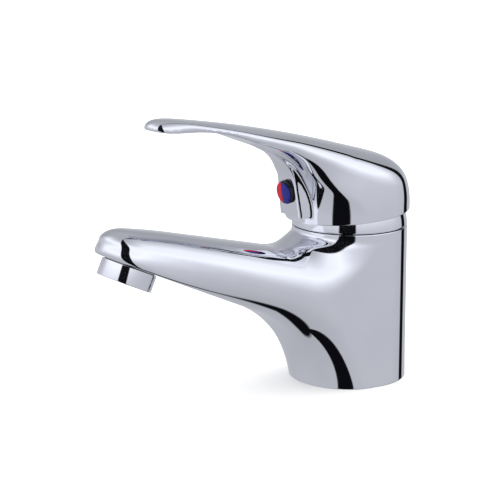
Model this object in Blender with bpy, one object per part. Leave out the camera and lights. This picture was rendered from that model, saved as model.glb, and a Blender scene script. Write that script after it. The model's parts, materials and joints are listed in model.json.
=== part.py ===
"""Single-lever basin mixer with a cast spout, a ceramic-disc cartridge and an M24 aerator.

Run with: blender --background --python part.py
Metres, +Z up. The foot's centre is the origin and the spout points along -Y.
"""

import math

import bmesh
import bpy
import numpy as np
from mathutils import Matrix, Vector

MM = 0.001
GAP = 0.3 * MM

# Body: a round barrel with the spout growing out of its front.
BARREL_RADIUS = 26.4 * MM
BODY_HEIGHT = 71.0 * MM
SPOUT_REACH = 115.0 * MM
SPOUT_TIP_RADIUS = 16.0 * MM
SPOUT_TOP_AT_AXIS = 56.0 * MM
SPOUT_TOP_RISE = 0.232
SPOUT_CROWN_RADIUS = 42.0 * MM
NECK_TUCK = 15.0 * MM
AERATOR_TILT = math.radians(24.4)
AERATOR_SEAT = Vector((0.0, -115.8 * MM, 66.3 * MM))

# Cartridge chamber and waterways.
CHAMBER_RADIUS = 20.4 * MM
CHAMBER_FLOOR = 45.0 * MM
NUT_BORE_RADIUS = 22.6 * MM
NUT_SHOULDER = 61.0 * MM
PORT_RADIUS = 4.6 * MM
HOT_PORT = Vector((-9.0 * MM, 5.0 * MM, 0.0))
COLD_PORT = Vector((9.0 * MM, 5.0 * MM, 0.0))
OUTLET_PORT = Vector((0.0, -10.5 * MM, 0.0))
CHANNEL_START = Vector((0.0, -6.0 * MM, 34.0 * MM))
CHANNEL_END = Vector((0.0, -113.0 * MM, 72.0 * MM))
CHANNEL_RADIUS = 4.8 * MM
LOCATING_PIN = Vector((12.0 * MM, -9.0 * MM, 0.0))
STUD_RADIUS = 3.4 * MM
STUD_PLACE = Vector((0.0, 14.5 * MM, 0.0))
STUD_DEPTH = 18.0 * MM

# Cartridge: heights of its layers, from the chamber floor up.
BASE_LOW, BASE_HIGH = 45.3 * MM, 50.3 * MM
DISC_SEAL_LOW, DISC_SEAL_HIGH = 50.6 * MM, 51.6 * MM
FIXED_DISC_LOW, FIXED_DISC_HIGH = 51.9 * MM, 54.7 * MM
MOVING_DISC_LOW, MOVING_DISC_HIGH = 55.0 * MM, 57.8 * MM
CARRIER_LOW, CARRIER_HIGH = 58.1 * MM, 62.6 * MM
TURRET_LOW, TURRET_FLANGE, TURRET_HIGH = 62.9 * MM, 64.9 * MM, 80.3 * MM
HOUSING_SHOULDER, HOUSING_HIGH = 66.3 * MM, 77.8 * MM
CARTRIDGE_RADIUS = 20.0 * MM
HOUSING_INNER_RADIUS = 17.0 * MM
NECK_RADIUS = 15.2 * MM
TURRET_RADIUS = 12.0 * MM

# The handle turns about the vertical axis and lifts about a level pin through the pivot.
PIVOT = Vector((0.0, 0.0, 70.5 * MM))
RING_SPHERE_RADIUS = 26.35 * MM
RING_TOP = 78.4 * MM
SKIRT_SPHERE_RADIUS = 26.75 * MM
HANDLE_RADIUS = 27.4 * MM
SKIRT_MIDDLE_HEIGHT = 77.2 * MM
SKIRT_TILT = math.radians(4.2)
STEM_TILT = math.radians(10.0)
NOSE_CORNER = (7.5 * MM, 33.8 * MM)
NOSE_FLANK_TURN = math.radians(66)
NOSE_BOTTOM = 78.2 * MM
LEVER_TIP = 107.5 * MM
TIP_RADIUS = 8.0 * MM
LEVER_FILLET = 5.0 * MM
DOME_FRONT = 30.1 * MM
FLANK_CURVE = 170.0 * MM
SHOULDER_EDGE = 9.5 * MM
NOSE_FILLET = 3.0 * MM

# Small parts.
STEM_WIDTH = 7.0 * MM
STEM_TOP = 28.5 * MM
BALL_DEPTH = 9.6 * MM
BALL_RADIUS = 2.8 * MM
PIN_RADIUS = 1.5 * MM
BOSS_RADIUS = 8.5 * MM
BOSS_LOW = 14.5 * MM
SCREW_RADIUS = 2.85 * MM
SCREW_HEIGHT = 24.7 * MM
NOSE_FACE = 31.0 * MM
PLUG_RADIUS = 5.3 * MM
PLUG_PROUD = 1.5 * MM
MARKER_THICKNESS = 0.7 * MM
AERATOR_RADIUS = 12.25 * MM
AERATOR_EXPOSED = 7.8 * MM
AERATOR_BORE_RADIUS = 11.4 * MM
AERATOR_BORE_DEPTH = 8.5 * MM

# The cast shapes are meshed on a fine grid, then thinned to about this many triangles.
# The body is made taller than it ends up and trimmed flat.
CAST_STEP = 1.4 * MM
CAST_HALF_WIDTH = 32.0 * MM
BODY_TRIANGLES = 4800
HANDLE_TRIANGLES = 3600
BODY_SPARE = 7.0 * MM


# ---------------------------------------------------------------- scene helpers


def clear_scene():
    for obj in list(bpy.data.objects):
        bpy.data.objects.remove(obj, do_unlink=True)


def material(name, colour, roughness, metallic):
    made = bpy.data.materials.new(name)
    made.use_nodes = True
    shader = made.node_tree.nodes["Principled BSDF"]
    shader.inputs["Base Color"].default_value = (*colour, 1.0)
    shader.inputs["Roughness"].default_value = roughness
    shader.inputs["Metallic"].default_value = metallic
    made.diffuse_color = (*colour, 1.0)
    return made


def chrome(name):
    return material(name, (0.78, 0.79, 0.82), 0.06, 1.0)


def brass(name):
    return material(name, (0.72, 0.55, 0.28), 0.3, 1.0)


def steel(name):
    return material(name, (0.6, 0.6, 0.62), 0.25, 1.0)


def plastic(name, colour):
    return material(name, colour, 0.45, 0.0)


def rubber(name):
    return material(name, (0.03, 0.03, 0.03), 0.8, 0.0)


def ceramic(name):
    return material(name, (0.9, 0.88, 0.84), 0.2, 0.0)


def link(name, mesh, look):
    obj = bpy.data.objects.new(name, mesh)
    bpy.context.scene.collection.objects.link(obj)
    if look is None:
        obj.hide_render = True
        obj.display_type = "WIRE"
    else:
        mesh.materials.append(look)
        mesh.shade_smooth()
        mesh.set_sharp_from_angle(angle=math.radians(35))
    return obj


def from_bmesh(name, shape, look):
    bmesh.ops.recalc_face_normals(shape, faces=shape.faces)
    mesh = bpy.data.meshes.new(name)
    shape.to_mesh(mesh)
    shape.free()
    return link(name, mesh, look)


def turned(name, profile, look=None, segments=40):
    """A solid of revolution about +Z from (radius, height) points; points on the axis close it."""
    shape = bmesh.new()
    verts = [shape.verts.new((radius, 0.0, height)) for radius, height in profile]
    edges = [shape.edges.new(pair) for pair in zip(verts, verts[1:])]
    if profile[0][0] > 0 or profile[-1][0] > 0:
        edges.append(shape.edges.new((verts[-1], verts[0])))
    bmesh.ops.spin(
        shape,
        geom=verts + edges,
        cent=(0, 0, 0),
        axis=(0, 0, 1),
        angle=2 * math.pi,
        steps=segments,
        use_merge=True,
    )
    bmesh.ops.remove_doubles(shape, verts=shape.verts, dist=1e-6)
    return from_bmesh(name, shape, look)


def cylinder(name, radius, low, high, look=None, segments=32):
    return turned(name, [(0, high), (radius, high), (radius, low), (0, low)], look, segments)


def tube(name, outer, inner, low, high, look=None, segments=40):
    profile = [(outer, high), (outer, low), (inner, low), (inner, high)]
    return turned(name, profile, look, segments)


def o_ring(name, radius, cord, height, look, segments=32):
    around = [k * math.pi / 4 for k in range(8)]
    profile = [(radius + cord * math.cos(a), height + cord * math.sin(a)) for a in around]
    return turned(name, profile, look, segments)


def block(name, low, high, look=None):
    shape = bmesh.new()
    bmesh.ops.create_cube(shape, size=1.0)
    middle = (Vector(low) + Vector(high)) / 2
    sides = Vector(high) - Vector(low)
    bmesh.ops.transform(
        shape,
        matrix=Matrix.Translation(middle) @ Matrix.Diagonal((*sides, 1.0)),
        verts=shape.verts,
    )
    return from_bmesh(name, shape, look)


def prism(name, outline, low, high, look=None):
    """An upright prism over a closed (x, y) outline."""
    shape = bmesh.new()
    face = shape.faces.new([shape.verts.new((x, y, low)) for x, y in outline])
    made = bmesh.ops.extrude_face_region(shape, geom=[face])
    raised = [item for item in made["geom"] if isinstance(item, bmesh.types.BMVert)]
    bmesh.ops.translate(shape, vec=(0, 0, high - low), verts=raised)
    return from_bmesh(name, shape, look)


def combine(obj, other, operation):
    modifier = obj.modifiers.new(other.name, "BOOLEAN")
    modifier.operation = operation
    modifier.solver = "EXACT"
    modifier.object = other


def cut(obj, *cutters):
    for cutter in cutters:
        combine(obj, cutter, "DIFFERENCE")


def join(obj, *others):
    for other in others:
        combine(obj, other, "UNION")


def place(obj, location, tilt=0.0):
    """Moves a part from the origin to its place; tilt leans its +Z forward, towards -Y."""
    obj.location = location
    obj.rotation_euler = (tilt, 0.0, 0.0)


# ---------------------------------------------------------------- smooth cast shapes


def blend_out(a, b, width):
    """The larger of two distances with a rounded edge."""
    reach = np.maximum(width - np.abs(a - b), 0.0) / width
    return np.maximum(a, b) + reach * reach * width / 4


def blend_in(a, b, width):
    """The smaller of two distances with a filled-in corner."""
    return -blend_out(-a, -b, width)


def ramp(value, start, end):
    t = np.clip((value - start) / (end - start), 0.0, 1.0)
    return t * t * (3 - 2 * t)


def tapered_outline(side, ahead, back_radius, tip_radius, reach):
    """Distance from above to two circles, round the axis and round the tip, joined by tangents."""
    lean = (back_radius - tip_radius) / reach
    straight = math.sqrt(1 - lean * lean)
    side = np.abs(side)
    along = straight * ahead - lean * side
    flank = straight * side + lean * ahead - back_radius
    round_tip = np.hypot(side, ahead - reach) - tip_radius
    round_back = np.hypot(side, ahead) - back_radius
    outline = np.where(along < 0, round_back, flank)
    return np.where(along > straight * reach, round_tip, outline)


def spout_top(side, ahead):
    crown = side * side / (2 * SPOUT_CROWN_RADIUS)
    droop = 0.0016 / MM * np.maximum(ahead - 95 * MM, 0.0) ** 2
    return SPOUT_TOP_AT_AXIS + SPOUT_TOP_RISE * ahead - crown - droop


def spout_underside(ahead):
    return AERATOR_SEAT.z + math.tan(AERATOR_TILT) * (ahead + AERATOR_SEAT.y)


def body_field(x, y, z):
    """Signed distance, near enough, to the barrel and spout; the barrel runs on past both ends."""
    ahead = -y
    outline = tapered_outline(x, ahead, BARREL_RADIUS, SPOUT_TIP_RADIUS, SPOUT_REACH)
    top = (z - spout_top(x, ahead)) * math.cos(math.atan(SPOUT_TOP_RISE))
    under = (spout_underside(ahead) - z) * math.cos(AERATOR_TILT)
    barrel = np.maximum(np.hypot(x, y) - BARREL_RADIUS, z - BODY_HEIGHT - BODY_SPARE)
    fillet = 20 * MM + 12 * MM * ramp(z, 60 * MM, 42 * MM) - NECK_TUCK * ramp(z, 65 * MM, 72 * MM)
    spout = blend_out(top, under, 5 * MM + 5 * MM * ramp(ahead, 112 * MM, 70 * MM))
    core = blend_in(barrel, spout, fillet)
    lower_edge = 2 * MM + 13 * MM * ramp(ahead, 112 * MM, 50 * MM)
    floor = spout_underside(ahead)
    upper = ramp((z - floor) / (spout_top(0 * x, ahead) - floor), 0.0, 0.55)
    edge = lower_edge + (13 * MM - lower_edge) * upper
    edge = 0.1 * MM + edge * ramp(ahead, 2 * MM, 36 * MM)
    return np.maximum(blend_out(outline, core, edge), -z - BODY_SPARE)


def handle_top(side, ahead):
    crown = side * side / (2 * 52 * MM)
    arch = 0.00085 / MM * np.maximum(ahead - 20 * MM, 0.0) ** 2
    droop = 0.005 / MM * np.maximum(ahead - 90 * MM, 0.0) ** 2
    return 107.2 * MM + 0.262 * ahead - crown - arch - droop


def lever_underside(ahead):
    root = 121.5 * MM + 0.4 * (ahead - 76 * MM)
    tip = 0.008 / MM * np.maximum(ahead - 94 * MM, 0.0) ** 2
    behind = 60 * MM * ramp(ahead, 16 * MM, -4 * MM)
    return blend_in(121.9 * MM, root, 5 * MM) + tip + behind


def dome_field(x, ahead, z):
    """The dome: round behind and at its foot, squarer and further forward as it climbs."""
    climb = np.clip((z - 80 * MM) / (23 * MM), 0.0, 1.6) ** 2.0
    power = 2.05 + 0.9 * climb
    front = DOME_FRONT + 6 * MM * climb
    side = np.abs(x) / (HANDLE_RADIUS + 4 * MM * climb)
    forward = np.maximum(ahead, 0.0) / front
    across = np.where(
        ahead > 0,
        (side**power + forward**power) ** (1 / power),
        np.hypot(side, ahead / HANDLE_RADIUS),
    )
    waist = 80 * MM
    height = handle_top(0 * x, ahead) + 3 * MM + 5 * MM * ramp(ahead, -24 * MM, 26 * MM) - waist
    rise = np.clip((z - waist) / height, 0.0, None)
    squareness = 2.3 + 3 * ramp(ahead, -26 * MM, 16 * MM)
    return ((across**squareness + rise**squareness) ** (1 / squareness) - 1) * HANDLE_RADIUS


def handle_field(x, y, z):
    """Signed distance, near enough, to the dome with its nose and lever, before it is hollowed."""
    ahead = -y
    under = lever_underside(ahead) - z
    outline = tapered_outline(x, ahead, HANDLE_RADIUS, TIP_RADIUS, LEVER_TIP - TIP_RADIUS)
    lean = np.maximum(z - 80 * MM, 0.0) ** 2 / (2 * FLANK_CURVE)
    outline = outline + lean * ramp(ahead, 60 * MM, 5 * MM)
    edge = 0.1 * MM + 1.4 * MM * ramp(ahead, 30 * MM, 60 * MM)
    shoulder = ramp(ahead, 4 * MM, 26 * MM) * ramp(ahead, 66 * MM, 38 * MM)
    shoulder = SHOULDER_EDGE * shoulder + 5 * MM * ramp(ahead, 26 * MM, 4 * MM)
    edge = edge + shoulder * ramp(z, 84 * MM, 105 * MM)
    core = blend_in(dome_field(x, ahead, z), under * 0.95, LEVER_FILLET)
    lever = blend_out(outline, core, edge)
    face = (ahead - 34.2 * MM - 0.14 * (z - 85 * MM)) * 0.99
    aside, forward = np.abs(x) - NOSE_CORNER[0], ahead - NOSE_CORNER[1]
    flank = math.sin(NOSE_FLANK_TURN) * aside + math.cos(NOSE_FLANK_TURN) * forward
    nose = blend_out(flank, blend_in(face, under, 12 * MM), 1.0 * MM)
    nose = np.maximum(nose, np.maximum(8 * MM - ahead, NOSE_BOTTOM - z))
    whole = blend_in(lever, nose, 0.6 * MM + NOSE_FILLET * ramp(z, 88 * MM, 104 * MM))
    top_edge = 7 * MM - 5 * MM * ramp(ahead, 30 * MM, 70 * MM) + 4 * MM * ramp(ahead, 88 * MM, 104 * MM)
    whole = blend_out(whole, (z - handle_top(x, ahead)) * 0.97, top_edge)
    return np.maximum(whole, PIVOT.z - z)


def on_surface(field, points, rounds):
    """Moves points down the field's slope until they lie on its zero surface."""
    small = 0.05 * MM
    for _ in range(rounds):
        value = field(*points.T)
        slope = np.empty_like(points)
        for axis in range(3):
            moved = points.copy()
            moved[:, axis] += small
            slope[:, axis] = (field(*moved.T) - value) / small
        points = points - (value / np.maximum((slope**2).sum(1), 0.05))[:, None] * slope
    return points


def surface_net(field, low, high, step):
    """Quads over the zero surface of a field: one vertex in each grid cell that it crosses."""
    axes = [np.arange(a, b + step, step) for a, b in zip(low, high)]
    grid = np.stack(np.meshgrid(*axes, indexing="ij"), axis=-1)
    inside = field(grid[..., 0], grid[..., 1], grid[..., 2]) < 0
    count = np.zeros(tuple(n - 1 for n in inside.shape), int)
    for i in (0, 1):
        for j in (0, 1):
            for k in (0, 1):
                count += inside[i : i + count.shape[0], j : j + count.shape[1], k : k + count.shape[2]]
    crossed = (count > 0) & (count < 8)
    index = np.full(count.shape, -1)
    index[crossed] = np.arange(crossed.sum())
    points = grid[:-1, :-1, :-1][crossed] + step / 2
    quads = []
    for axis in range(3):
        first, second = [other for other in range(3) if other != axis]
        here = np.moveaxis(inside, (axis, first, second), (0, 1, 2))
        cells = np.moveaxis(index, (axis, first, second), (0, 1, 2))
        change = here[:-1, 1:-1, 1:-1] != here[1:, 1:-1, 1:-1]
        at = np.argwhere(change) + (0, 1, 1)
        corners = [cells[at[:, 0], at[:, 1] - a, at[:, 2] - b] for a, b in ((0, 0), (1, 0), (1, 1), (0, 1))]
        quads.append(np.stack(corners, axis=1))
    quads = np.concatenate(quads)
    points = on_surface(field, points, 3)
    for _ in range(3):
        points = on_surface(field, relaxed(points, quads), 2)
    return points, quads


def relaxed(points, quads):
    """Each point moved halfway to the middle of its neighbours, which evens the quads."""
    total = np.zeros_like(points)
    number = np.zeros(len(points))
    for side in range(4):
        near, far = quads[:, side], quads[:, (side + 1) % 4]
        np.add.at(total, near, points[far])
        np.add.at(total, far, points[near])
        np.add.at(number, near, 1)
        np.add.at(number, far, 1)
    return (points + total / number[:, None]) / 2


def cast(name, field, low, high, triangles, look):
    """A cast shape as a mesh; its grid is even about the middle plane, so its halves match."""
    low, high = (-CAST_HALF_WIDTH, *low), (CAST_HALF_WIDTH, *high)
    points, quads = surface_net(field, low, high, CAST_STEP)
    shape = bmesh.new()
    verts = [shape.verts.new(point) for point in points]
    for quad in quads:
        shape.faces.new([verts[i] for i in quad])
    obj = from_bmesh(name, shape, look)
    thinning = obj.modifiers.new("thinning", "DECIMATE")
    thinning.ratio = triangles / (2 * len(quads))
    return obj


# ---------------------------------------------------------------- body and its base


def ports():
    return (HOT_PORT, COLD_PORT, OUTLET_PORT)


def aimed(name, radius, start, end):
    """A cylindrical cutter between two points."""
    reach = end - start
    cutter = cylinder(name, radius, 0.0, reach.length, segments=20)
    cutter.rotation_euler = reach.to_track_quat("Z", "Y").to_euler()
    cutter.location = start
    return cutter


def bores(name, places, radius, low, high, segments=16):
    """One cutter holding a vertical cylinder at each place."""
    shape = bmesh.new()
    for spot in places:
        middle = Vector((spot[0], spot[1], (low + high) / 2))
        bmesh.ops.create_cone(
            shape,
            cap_ends=True,
            segments=segments,
            radius1=radius,
            radius2=radius,
            depth=high - low,
            matrix=Matrix.Translation(middle),
        )
    return from_bmesh(name, shape, None)


def make_body():
    low, high = (-138 * MM, -9 * MM), (32 * MM, 90 * MM)
    body = cast("body", body_field, low, high, BODY_TRIANGLES, chrome("body_chrome"))
    top = cylinder("cut_body_top", 40 * MM, BODY_HEIGHT, 100 * MM)
    foot = block("cut_body_foot", (-60 * MM, -60 * MM, -20 * MM), (60 * MM, 60 * MM, 0))
    chamber = turned(
        "cut_chamber",
        [
            (0, 80 * MM),
            (NUT_BORE_RADIUS, 80 * MM),
            (NUT_BORE_RADIUS, NUT_SHOULDER),
            (CHAMBER_RADIUS, NUT_SHOULDER),
            (CHAMBER_RADIUS, CHAMBER_FLOOR),
            (0, CHAMBER_FLOOR),
        ],
    )
    above_floor = CHAMBER_FLOOR + 1 * MM
    inlets = bores("cut_inlets", (HOT_PORT, COLD_PORT), PORT_RADIUS, -1 * MM, above_floor)
    outlet = bores("cut_outlet", [OUTLET_PORT], PORT_RADIUS, CHANNEL_START.z, above_floor)
    channel = aimed("cut_channel", CHANNEL_RADIUS, CHANNEL_START, CHANNEL_END)
    seat = cylinder("cut_aerator_seat", AERATOR_BORE_RADIUS, -3 * MM, AERATOR_BORE_DEPTH)
    place(seat, AERATOR_SEAT, -AERATOR_TILT)
    stud = bores("cut_stud", [STUD_PLACE], STUD_RADIUS, -1 * MM, STUD_DEPTH)
    pins = bores("cut_pin_holes", pin_places(), 1.6 * MM, CHAMBER_FLOOR - 3.4 * MM, above_floor)
    groove = tube("cut_gasket_groove", 23.4 * MM, 20.6 * MM, -1 * MM, 2 * MM)
    cut(body, top, foot, chamber, inlets, outlet, channel, seat, stud, pins, groove)


def pin_places():
    return [LOCATING_PIN, Vector((-LOCATING_PIN.x, LOCATING_PIN.y, 0.0))]


def make_base_gasket():
    tube("base_gasket", 23.1 * MM, 20.9 * MM, 0.0, 1.7 * MM, rubber("base_gasket_rubber"))


# ---------------------------------------------------------------- cover ring and nut


def make_bonnet_ring():
    foot_height = BODY_HEIGHT + GAP - PIVOT.z
    top_height = RING_TOP - PIVOT.z
    first = math.asin(foot_height / RING_SPHERE_RADIUS)
    last = math.asin((top_height - 0.5 * MM) / RING_SPHERE_RADIUS)
    steps = 5
    zone = []
    for k in range(steps + 1):
        angle = last + (first - last) * k / steps
        radius = RING_SPHERE_RADIUS * math.cos(angle)
        zone.append((radius, PIVOT.z + RING_SPHERE_RADIUS * math.sin(angle)))
    inside = [
        (22.9 * MM, zone[-1][1]),
        (22.9 * MM, RING_TOP - 1.8 * MM),
        (16.2 * MM, RING_TOP - 1.8 * MM),
        (16.2 * MM, RING_TOP),
        (zone[0][0] - 0.5 * MM, RING_TOP),
    ]
    turned("bonnet_ring", zone + inside, chrome("bonnet_ring_chrome"), segments=56)


def make_retaining_nut():
    low = HOUSING_SHOULDER + GAP
    look = brass("retaining_nut_brass")
    nut = tube("retaining_nut", 22.2 * MM, 15.6 * MM, low, BODY_HEIGHT + 0.5 * MM, look)
    outline = [
        (22 * MM * math.cos(k * math.pi / 3), 22 * MM * math.sin(k * math.pi / 3))
        for k in range(6)
    ]
    hexagon = prism("nut_hexagon", outline, BODY_HEIGHT, RING_TOP - 2.3 * MM)
    join(nut, hexagon)
    cut(nut, cylinder("cut_nut_bore", 15.6 * MM, low - 1 * MM, RING_TOP, segments=40))


# ---------------------------------------------------------------- cartridge


def make_cartridge_base():
    look = plastic("cartridge_base_plastic", (0.75, 0.75, 0.72))
    base = cylinder("cartridge_base", CARTRIDGE_RADIUS, BASE_LOW, BASE_HIGH, look, 40)
    pins = bores("base_pins", pin_places(), 1.3 * MM, BASE_LOW - 3 * MM, BASE_LOW + 1 * MM, 12)
    join(base, pins)
    through = bores("cut_base_ports", ports(), 4.2 * MM, BASE_LOW - 1 * MM, BASE_HIGH + 1 * MM)
    seats = bores("cut_seal_seats", ports(), 6.8 * MM, BASE_LOW - 1 * MM, BASE_LOW + 2.1 * MM, 20)
    cut(base, seats, through)


def make_port_seals():
    names = ("hot_inlet_seal", "cold_inlet_seal", "outlet_seal")
    for name, spot in zip(names, ports()):
        seal = o_ring(name, 5.6 * MM, 0.9 * MM, 0.0, rubber(name + "_rubber"), 20)
        place(seal, spot + Vector((0, 0, CHAMBER_FLOOR + 1.25 * MM)))


def make_disc_seal():
    look = rubber("disc_seal_rubber")
    tube("disc_seal", 16.4 * MM, 14.8 * MM, DISC_SEAL_LOW, DISC_SEAL_HIGH, look, 32)


def make_fixed_disc():
    look = ceramic("fixed_disc_ceramic")
    disc = cylinder("fixed_disc", 16.6 * MM, FIXED_DISC_LOW, FIXED_DISC_HIGH, look, 36)
    low, high = FIXED_DISC_LOW - 1 * MM, FIXED_DISC_HIGH + 1 * MM
    cut(disc, bores("cut_fixed_ports", ports(), 3.6 * MM, low, high, 12))


def disc_rest_offset():
    """Where the ball at the stem's lower end stands with the tap closed."""
    return Vector((0.0, BALL_DEPTH * math.sin(STEM_TILT), 0.0))


def make_moving_disc():
    look = ceramic("moving_disc_ceramic")
    disc = cylinder("moving_disc", 13.6 * MM, 0.0, MOVING_DISC_HIGH - MOVING_DISC_LOW, look, 36)
    pocket = [(7 * MM, 2 * MM), (-7 * MM, 2 * MM), (-4 * MM, -9 * MM), (4 * MM, -9 * MM)]
    cut(disc, prism("cut_mixing_pocket", pocket, -1 * MM, 1.6 * MM))
    place(disc, disc_rest_offset() + Vector((0, 0, MOVING_DISC_LOW)))
    move_cutters_with(disc)


def move_cutters_with(obj):
    """Cutters made at the origin follow their part."""
    for modifier in obj.modifiers:
        modifier.object.parent = obj


def make_disc_carrier():
    look = plastic("disc_carrier_plastic", (0.15, 0.3, 0.6))
    carrier = cylinder("disc_carrier", 12.6 * MM, 0.0, CARRIER_HIGH - CARRIER_LOW, look, 32)
    cut(carrier, cylinder("cut_ball_socket", 3.4 * MM, -1 * MM, 10 * MM, segments=20))
    place(carrier, disc_rest_offset() + Vector((0, 0, CARRIER_LOW)))
    move_cutters_with(carrier)


def make_cartridge_housing():
    low = DISC_SEAL_LOW
    step = TURRET_FLANGE + GAP
    groove_low, groove_high, groove_radius = 55.9 * MM, 58.1 * MM, 18.3 * MM
    profile = [
        (NECK_RADIUS, HOUSING_HIGH),
        (NECK_RADIUS, HOUSING_SHOULDER),
        (CARTRIDGE_RADIUS, HOUSING_SHOULDER),
        (CARTRIDGE_RADIUS, groove_high),
        (groove_radius, groove_high),
        (groove_radius, groove_low),
        (CARTRIDGE_RADIUS, groove_low),
        (CARTRIDGE_RADIUS, low),
        (HOUSING_INNER_RADIUS, low),
        (HOUSING_INNER_RADIUS, step),
        (TURRET_RADIUS + 0.4 * MM, step),
        (TURRET_RADIUS + 0.4 * MM, HOUSING_HIGH),
    ]
    turned("cartridge_housing", profile, plastic("housing_plastic", (0.85, 0.85, 0.82)), 44)


def make_housing_o_ring():
    o_ring("housing_o_ring", 19.4 * MM, 0.75 * MM, 57 * MM, rubber("housing_o_ring_rubber"), 36)


# ---------------------------------------------------------------- turret, pin and stem


def make_turret():
    look = plastic("turret_plastic", (0.7, 0.72, 0.7))
    profile = [
        (0, TURRET_HIGH),
        (TURRET_RADIUS, TURRET_HIGH),
        (TURRET_RADIUS, TURRET_FLANGE),
        (16.4 * MM, TURRET_FLANGE),
        (16.4 * MM, TURRET_LOW),
        (0, TURRET_LOW),
    ]
    turret = turned("turret", profile, look, 36)
    half_slot, reach = STEM_WIDTH / 2 + 0.4 * MM, 7.2 * MM
    low, high = TURRET_LOW - 1 * MM, TURRET_HIGH + 1 * MM
    slot = block("cut_stem_slot", (-half_slot, -reach, low), (half_slot, reach, high))
    hole = cylinder("cut_pin_hole", PIN_RADIUS + GAP, -20 * MM, 20 * MM, segments=16)
    lay_along_x(hole)
    cut(turret, slot, hole)


def lay_along_x(obj):
    obj.location = PIVOT
    obj.rotation_euler = (0.0, math.pi / 2, 0.0)


def make_pivot_pin():
    look = steel("pivot_pin_steel")
    lay_along_x(cylinder("pivot_pin", PIN_RADIUS, -11.4 * MM, 11.4 * MM, look, 16))


def make_limit_ring():
    low = HOUSING_HIGH + GAP
    look = plastic("limit_ring_plastic", (0.7, 0.1, 0.08))
    ring = tube("limit_ring", 14.9 * MM, TURRET_RADIUS + GAP, low, low + 1.5 * MM, look, 36)
    tooth = block("limit_tooth", (-1.5 * MM, 14.2 * MM, low), (1.5 * MM, 15.6 * MM, low + 1.5 * MM))
    join(ring, tooth)


def make_spindle():
    """The stem, built upright about the pivot and leaned forward with the tap closed."""
    half = STEM_WIDTH / 2
    look = brass("spindle_brass")
    stem = block("spindle", (-half, -half, -4 * MM), (half, half, STEM_TOP), look)
    arc = [-math.pi / 2 + k * math.pi / 8 for k in range(9)]
    ball = [(BALL_RADIUS * math.cos(a), BALL_RADIUS * math.sin(a) - BALL_DEPTH) for a in arc]
    ball[0] = (0, ball[0][1])
    ball[-1] = (0, ball[-1][1])
    join(stem, cylinder("stem_neck", 2.2 * MM, -BALL_DEPTH, -3 * MM, segments=16))
    join(stem, turned("stem_ball", ball[::-1], segments=16))
    hole = cylinder("cut_stem_pin_hole", PIN_RADIUS + GAP, -20 * MM, 20 * MM, segments=16)
    hole.rotation_euler = (0.0, math.pi / 2, 0.0)
    cut(stem, hole)
    move_cutters_with(stem)
    place(stem, PIVOT, STEM_TILT)


# ---------------------------------------------------------------- handle


def stem_frame(name):
    """An empty at the pivot whose +Z is the stem's axis and whose -Y is the screw's."""
    frame = bpy.data.objects.new(name, None)
    bpy.context.scene.collection.objects.link(frame)
    place(frame, PIVOT, STEM_TILT)
    return frame


def facing_forward(obj, frame):
    """Turns a part's +Z to the screw's axis, at the screw's height on the stem."""
    obj.parent = frame
    obj.location = (0.0, 0.0, SCREW_HEIGHT)
    obj.rotation_euler = (math.pi / 2, 0.0, 0.0)


def make_skirt_cavity(frame):
    """The round hollow under the dome, less the boss that grips the stem."""
    steps = 14
    profile = []
    for k in range(steps + 1):
        angle = math.pi / 2 - math.pi * k / steps
        profile.append((SKIRT_SPHERE_RADIUS * math.cos(angle), SKIRT_SPHERE_RADIUS * math.sin(angle)))
    profile[0] = (0, SKIRT_SPHERE_RADIUS)
    profile[-1] = (0, -SKIRT_SPHERE_RADIUS)
    cavity = turned("cut_skirt_cavity", profile, segments=48)
    cavity.location = PIVOT
    boss = cylinder("boss", BOSS_RADIUS, BOSS_LOW, 60 * MM, segments=28)
    boss.parent = frame
    cut(cavity, boss)
    return cavity


def make_handle_lever(frame):
    low, high = (-112 * MM, 66 * MM), (32 * MM, 132 * MM)
    look = chrome("handle_chrome")
    handle = cast("handle_lever", handle_field, low, high, HANDLE_TRIANGLES, look)
    hem = cylinder("cut_skirt_hem", 60 * MM, -40 * MM, 0.0)
    place(hem, (0.0, 0.0, SKIRT_MIDDLE_HEIGHT), SKIRT_TILT)
    half = STEM_WIDTH / 2 + GAP
    socket = block("cut_stem_socket", (-half, -half, 5 * MM), (half, half, STEM_TOP + 0.8 * MM))
    socket.parent = frame
    screw_hole = cylinder("cut_screw_hole", SCREW_RADIUS + GAP, 0.0, 40 * MM, segments=20)
    plug_hole = cylinder("cut_plug_hole", 4.3 * MM, 24 * MM, 40 * MM, segments=24)
    plug_seat = cylinder("cut_plug_seat", 5.8 * MM, NOSE_FACE - 1.1 * MM, 40 * MM, segments=28)
    for cutter in (screw_hole, plug_hole, plug_seat):
        facing_forward(cutter, frame)
    cut(handle, hem, make_skirt_cavity(frame), socket, screw_hole, plug_hole, plug_seat)


def make_handle_screw(frame):
    start = STEM_WIDTH / 2 + GAP
    length = 10 * MM
    screw = cylinder("handle_screw", SCREW_RADIUS, start, start + length, steel("screw_steel"), 20)
    corners = [k * math.pi / 3 for k in range(6)]
    outline = [(1.73 * MM * math.cos(a), 1.73 * MM * math.sin(a)) for a in corners]
    key = prism("cut_screw_key", outline, start + length - 4 * MM, start + length + 1 * MM)
    cut(screw, key)
    move_cutters_with(screw)
    facing_forward(screw, frame)


def make_indicator_plug(frame):
    low, high = NOSE_FACE - 0.8 * MM, NOSE_FACE + PLUG_PROUD
    profile = [
        (0, high),
        (PLUG_RADIUS, high),
        (PLUG_RADIUS, low),
        (4.0 * MM, low),
        (4.0 * MM, 25 * MM),
        (0, 25 * MM),
    ]
    plug = turned("indicator_plug", profile, plastic("plug_plastic", (0.05, 0.05, 0.06)), 32)
    facing_forward(plug, frame)


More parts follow.
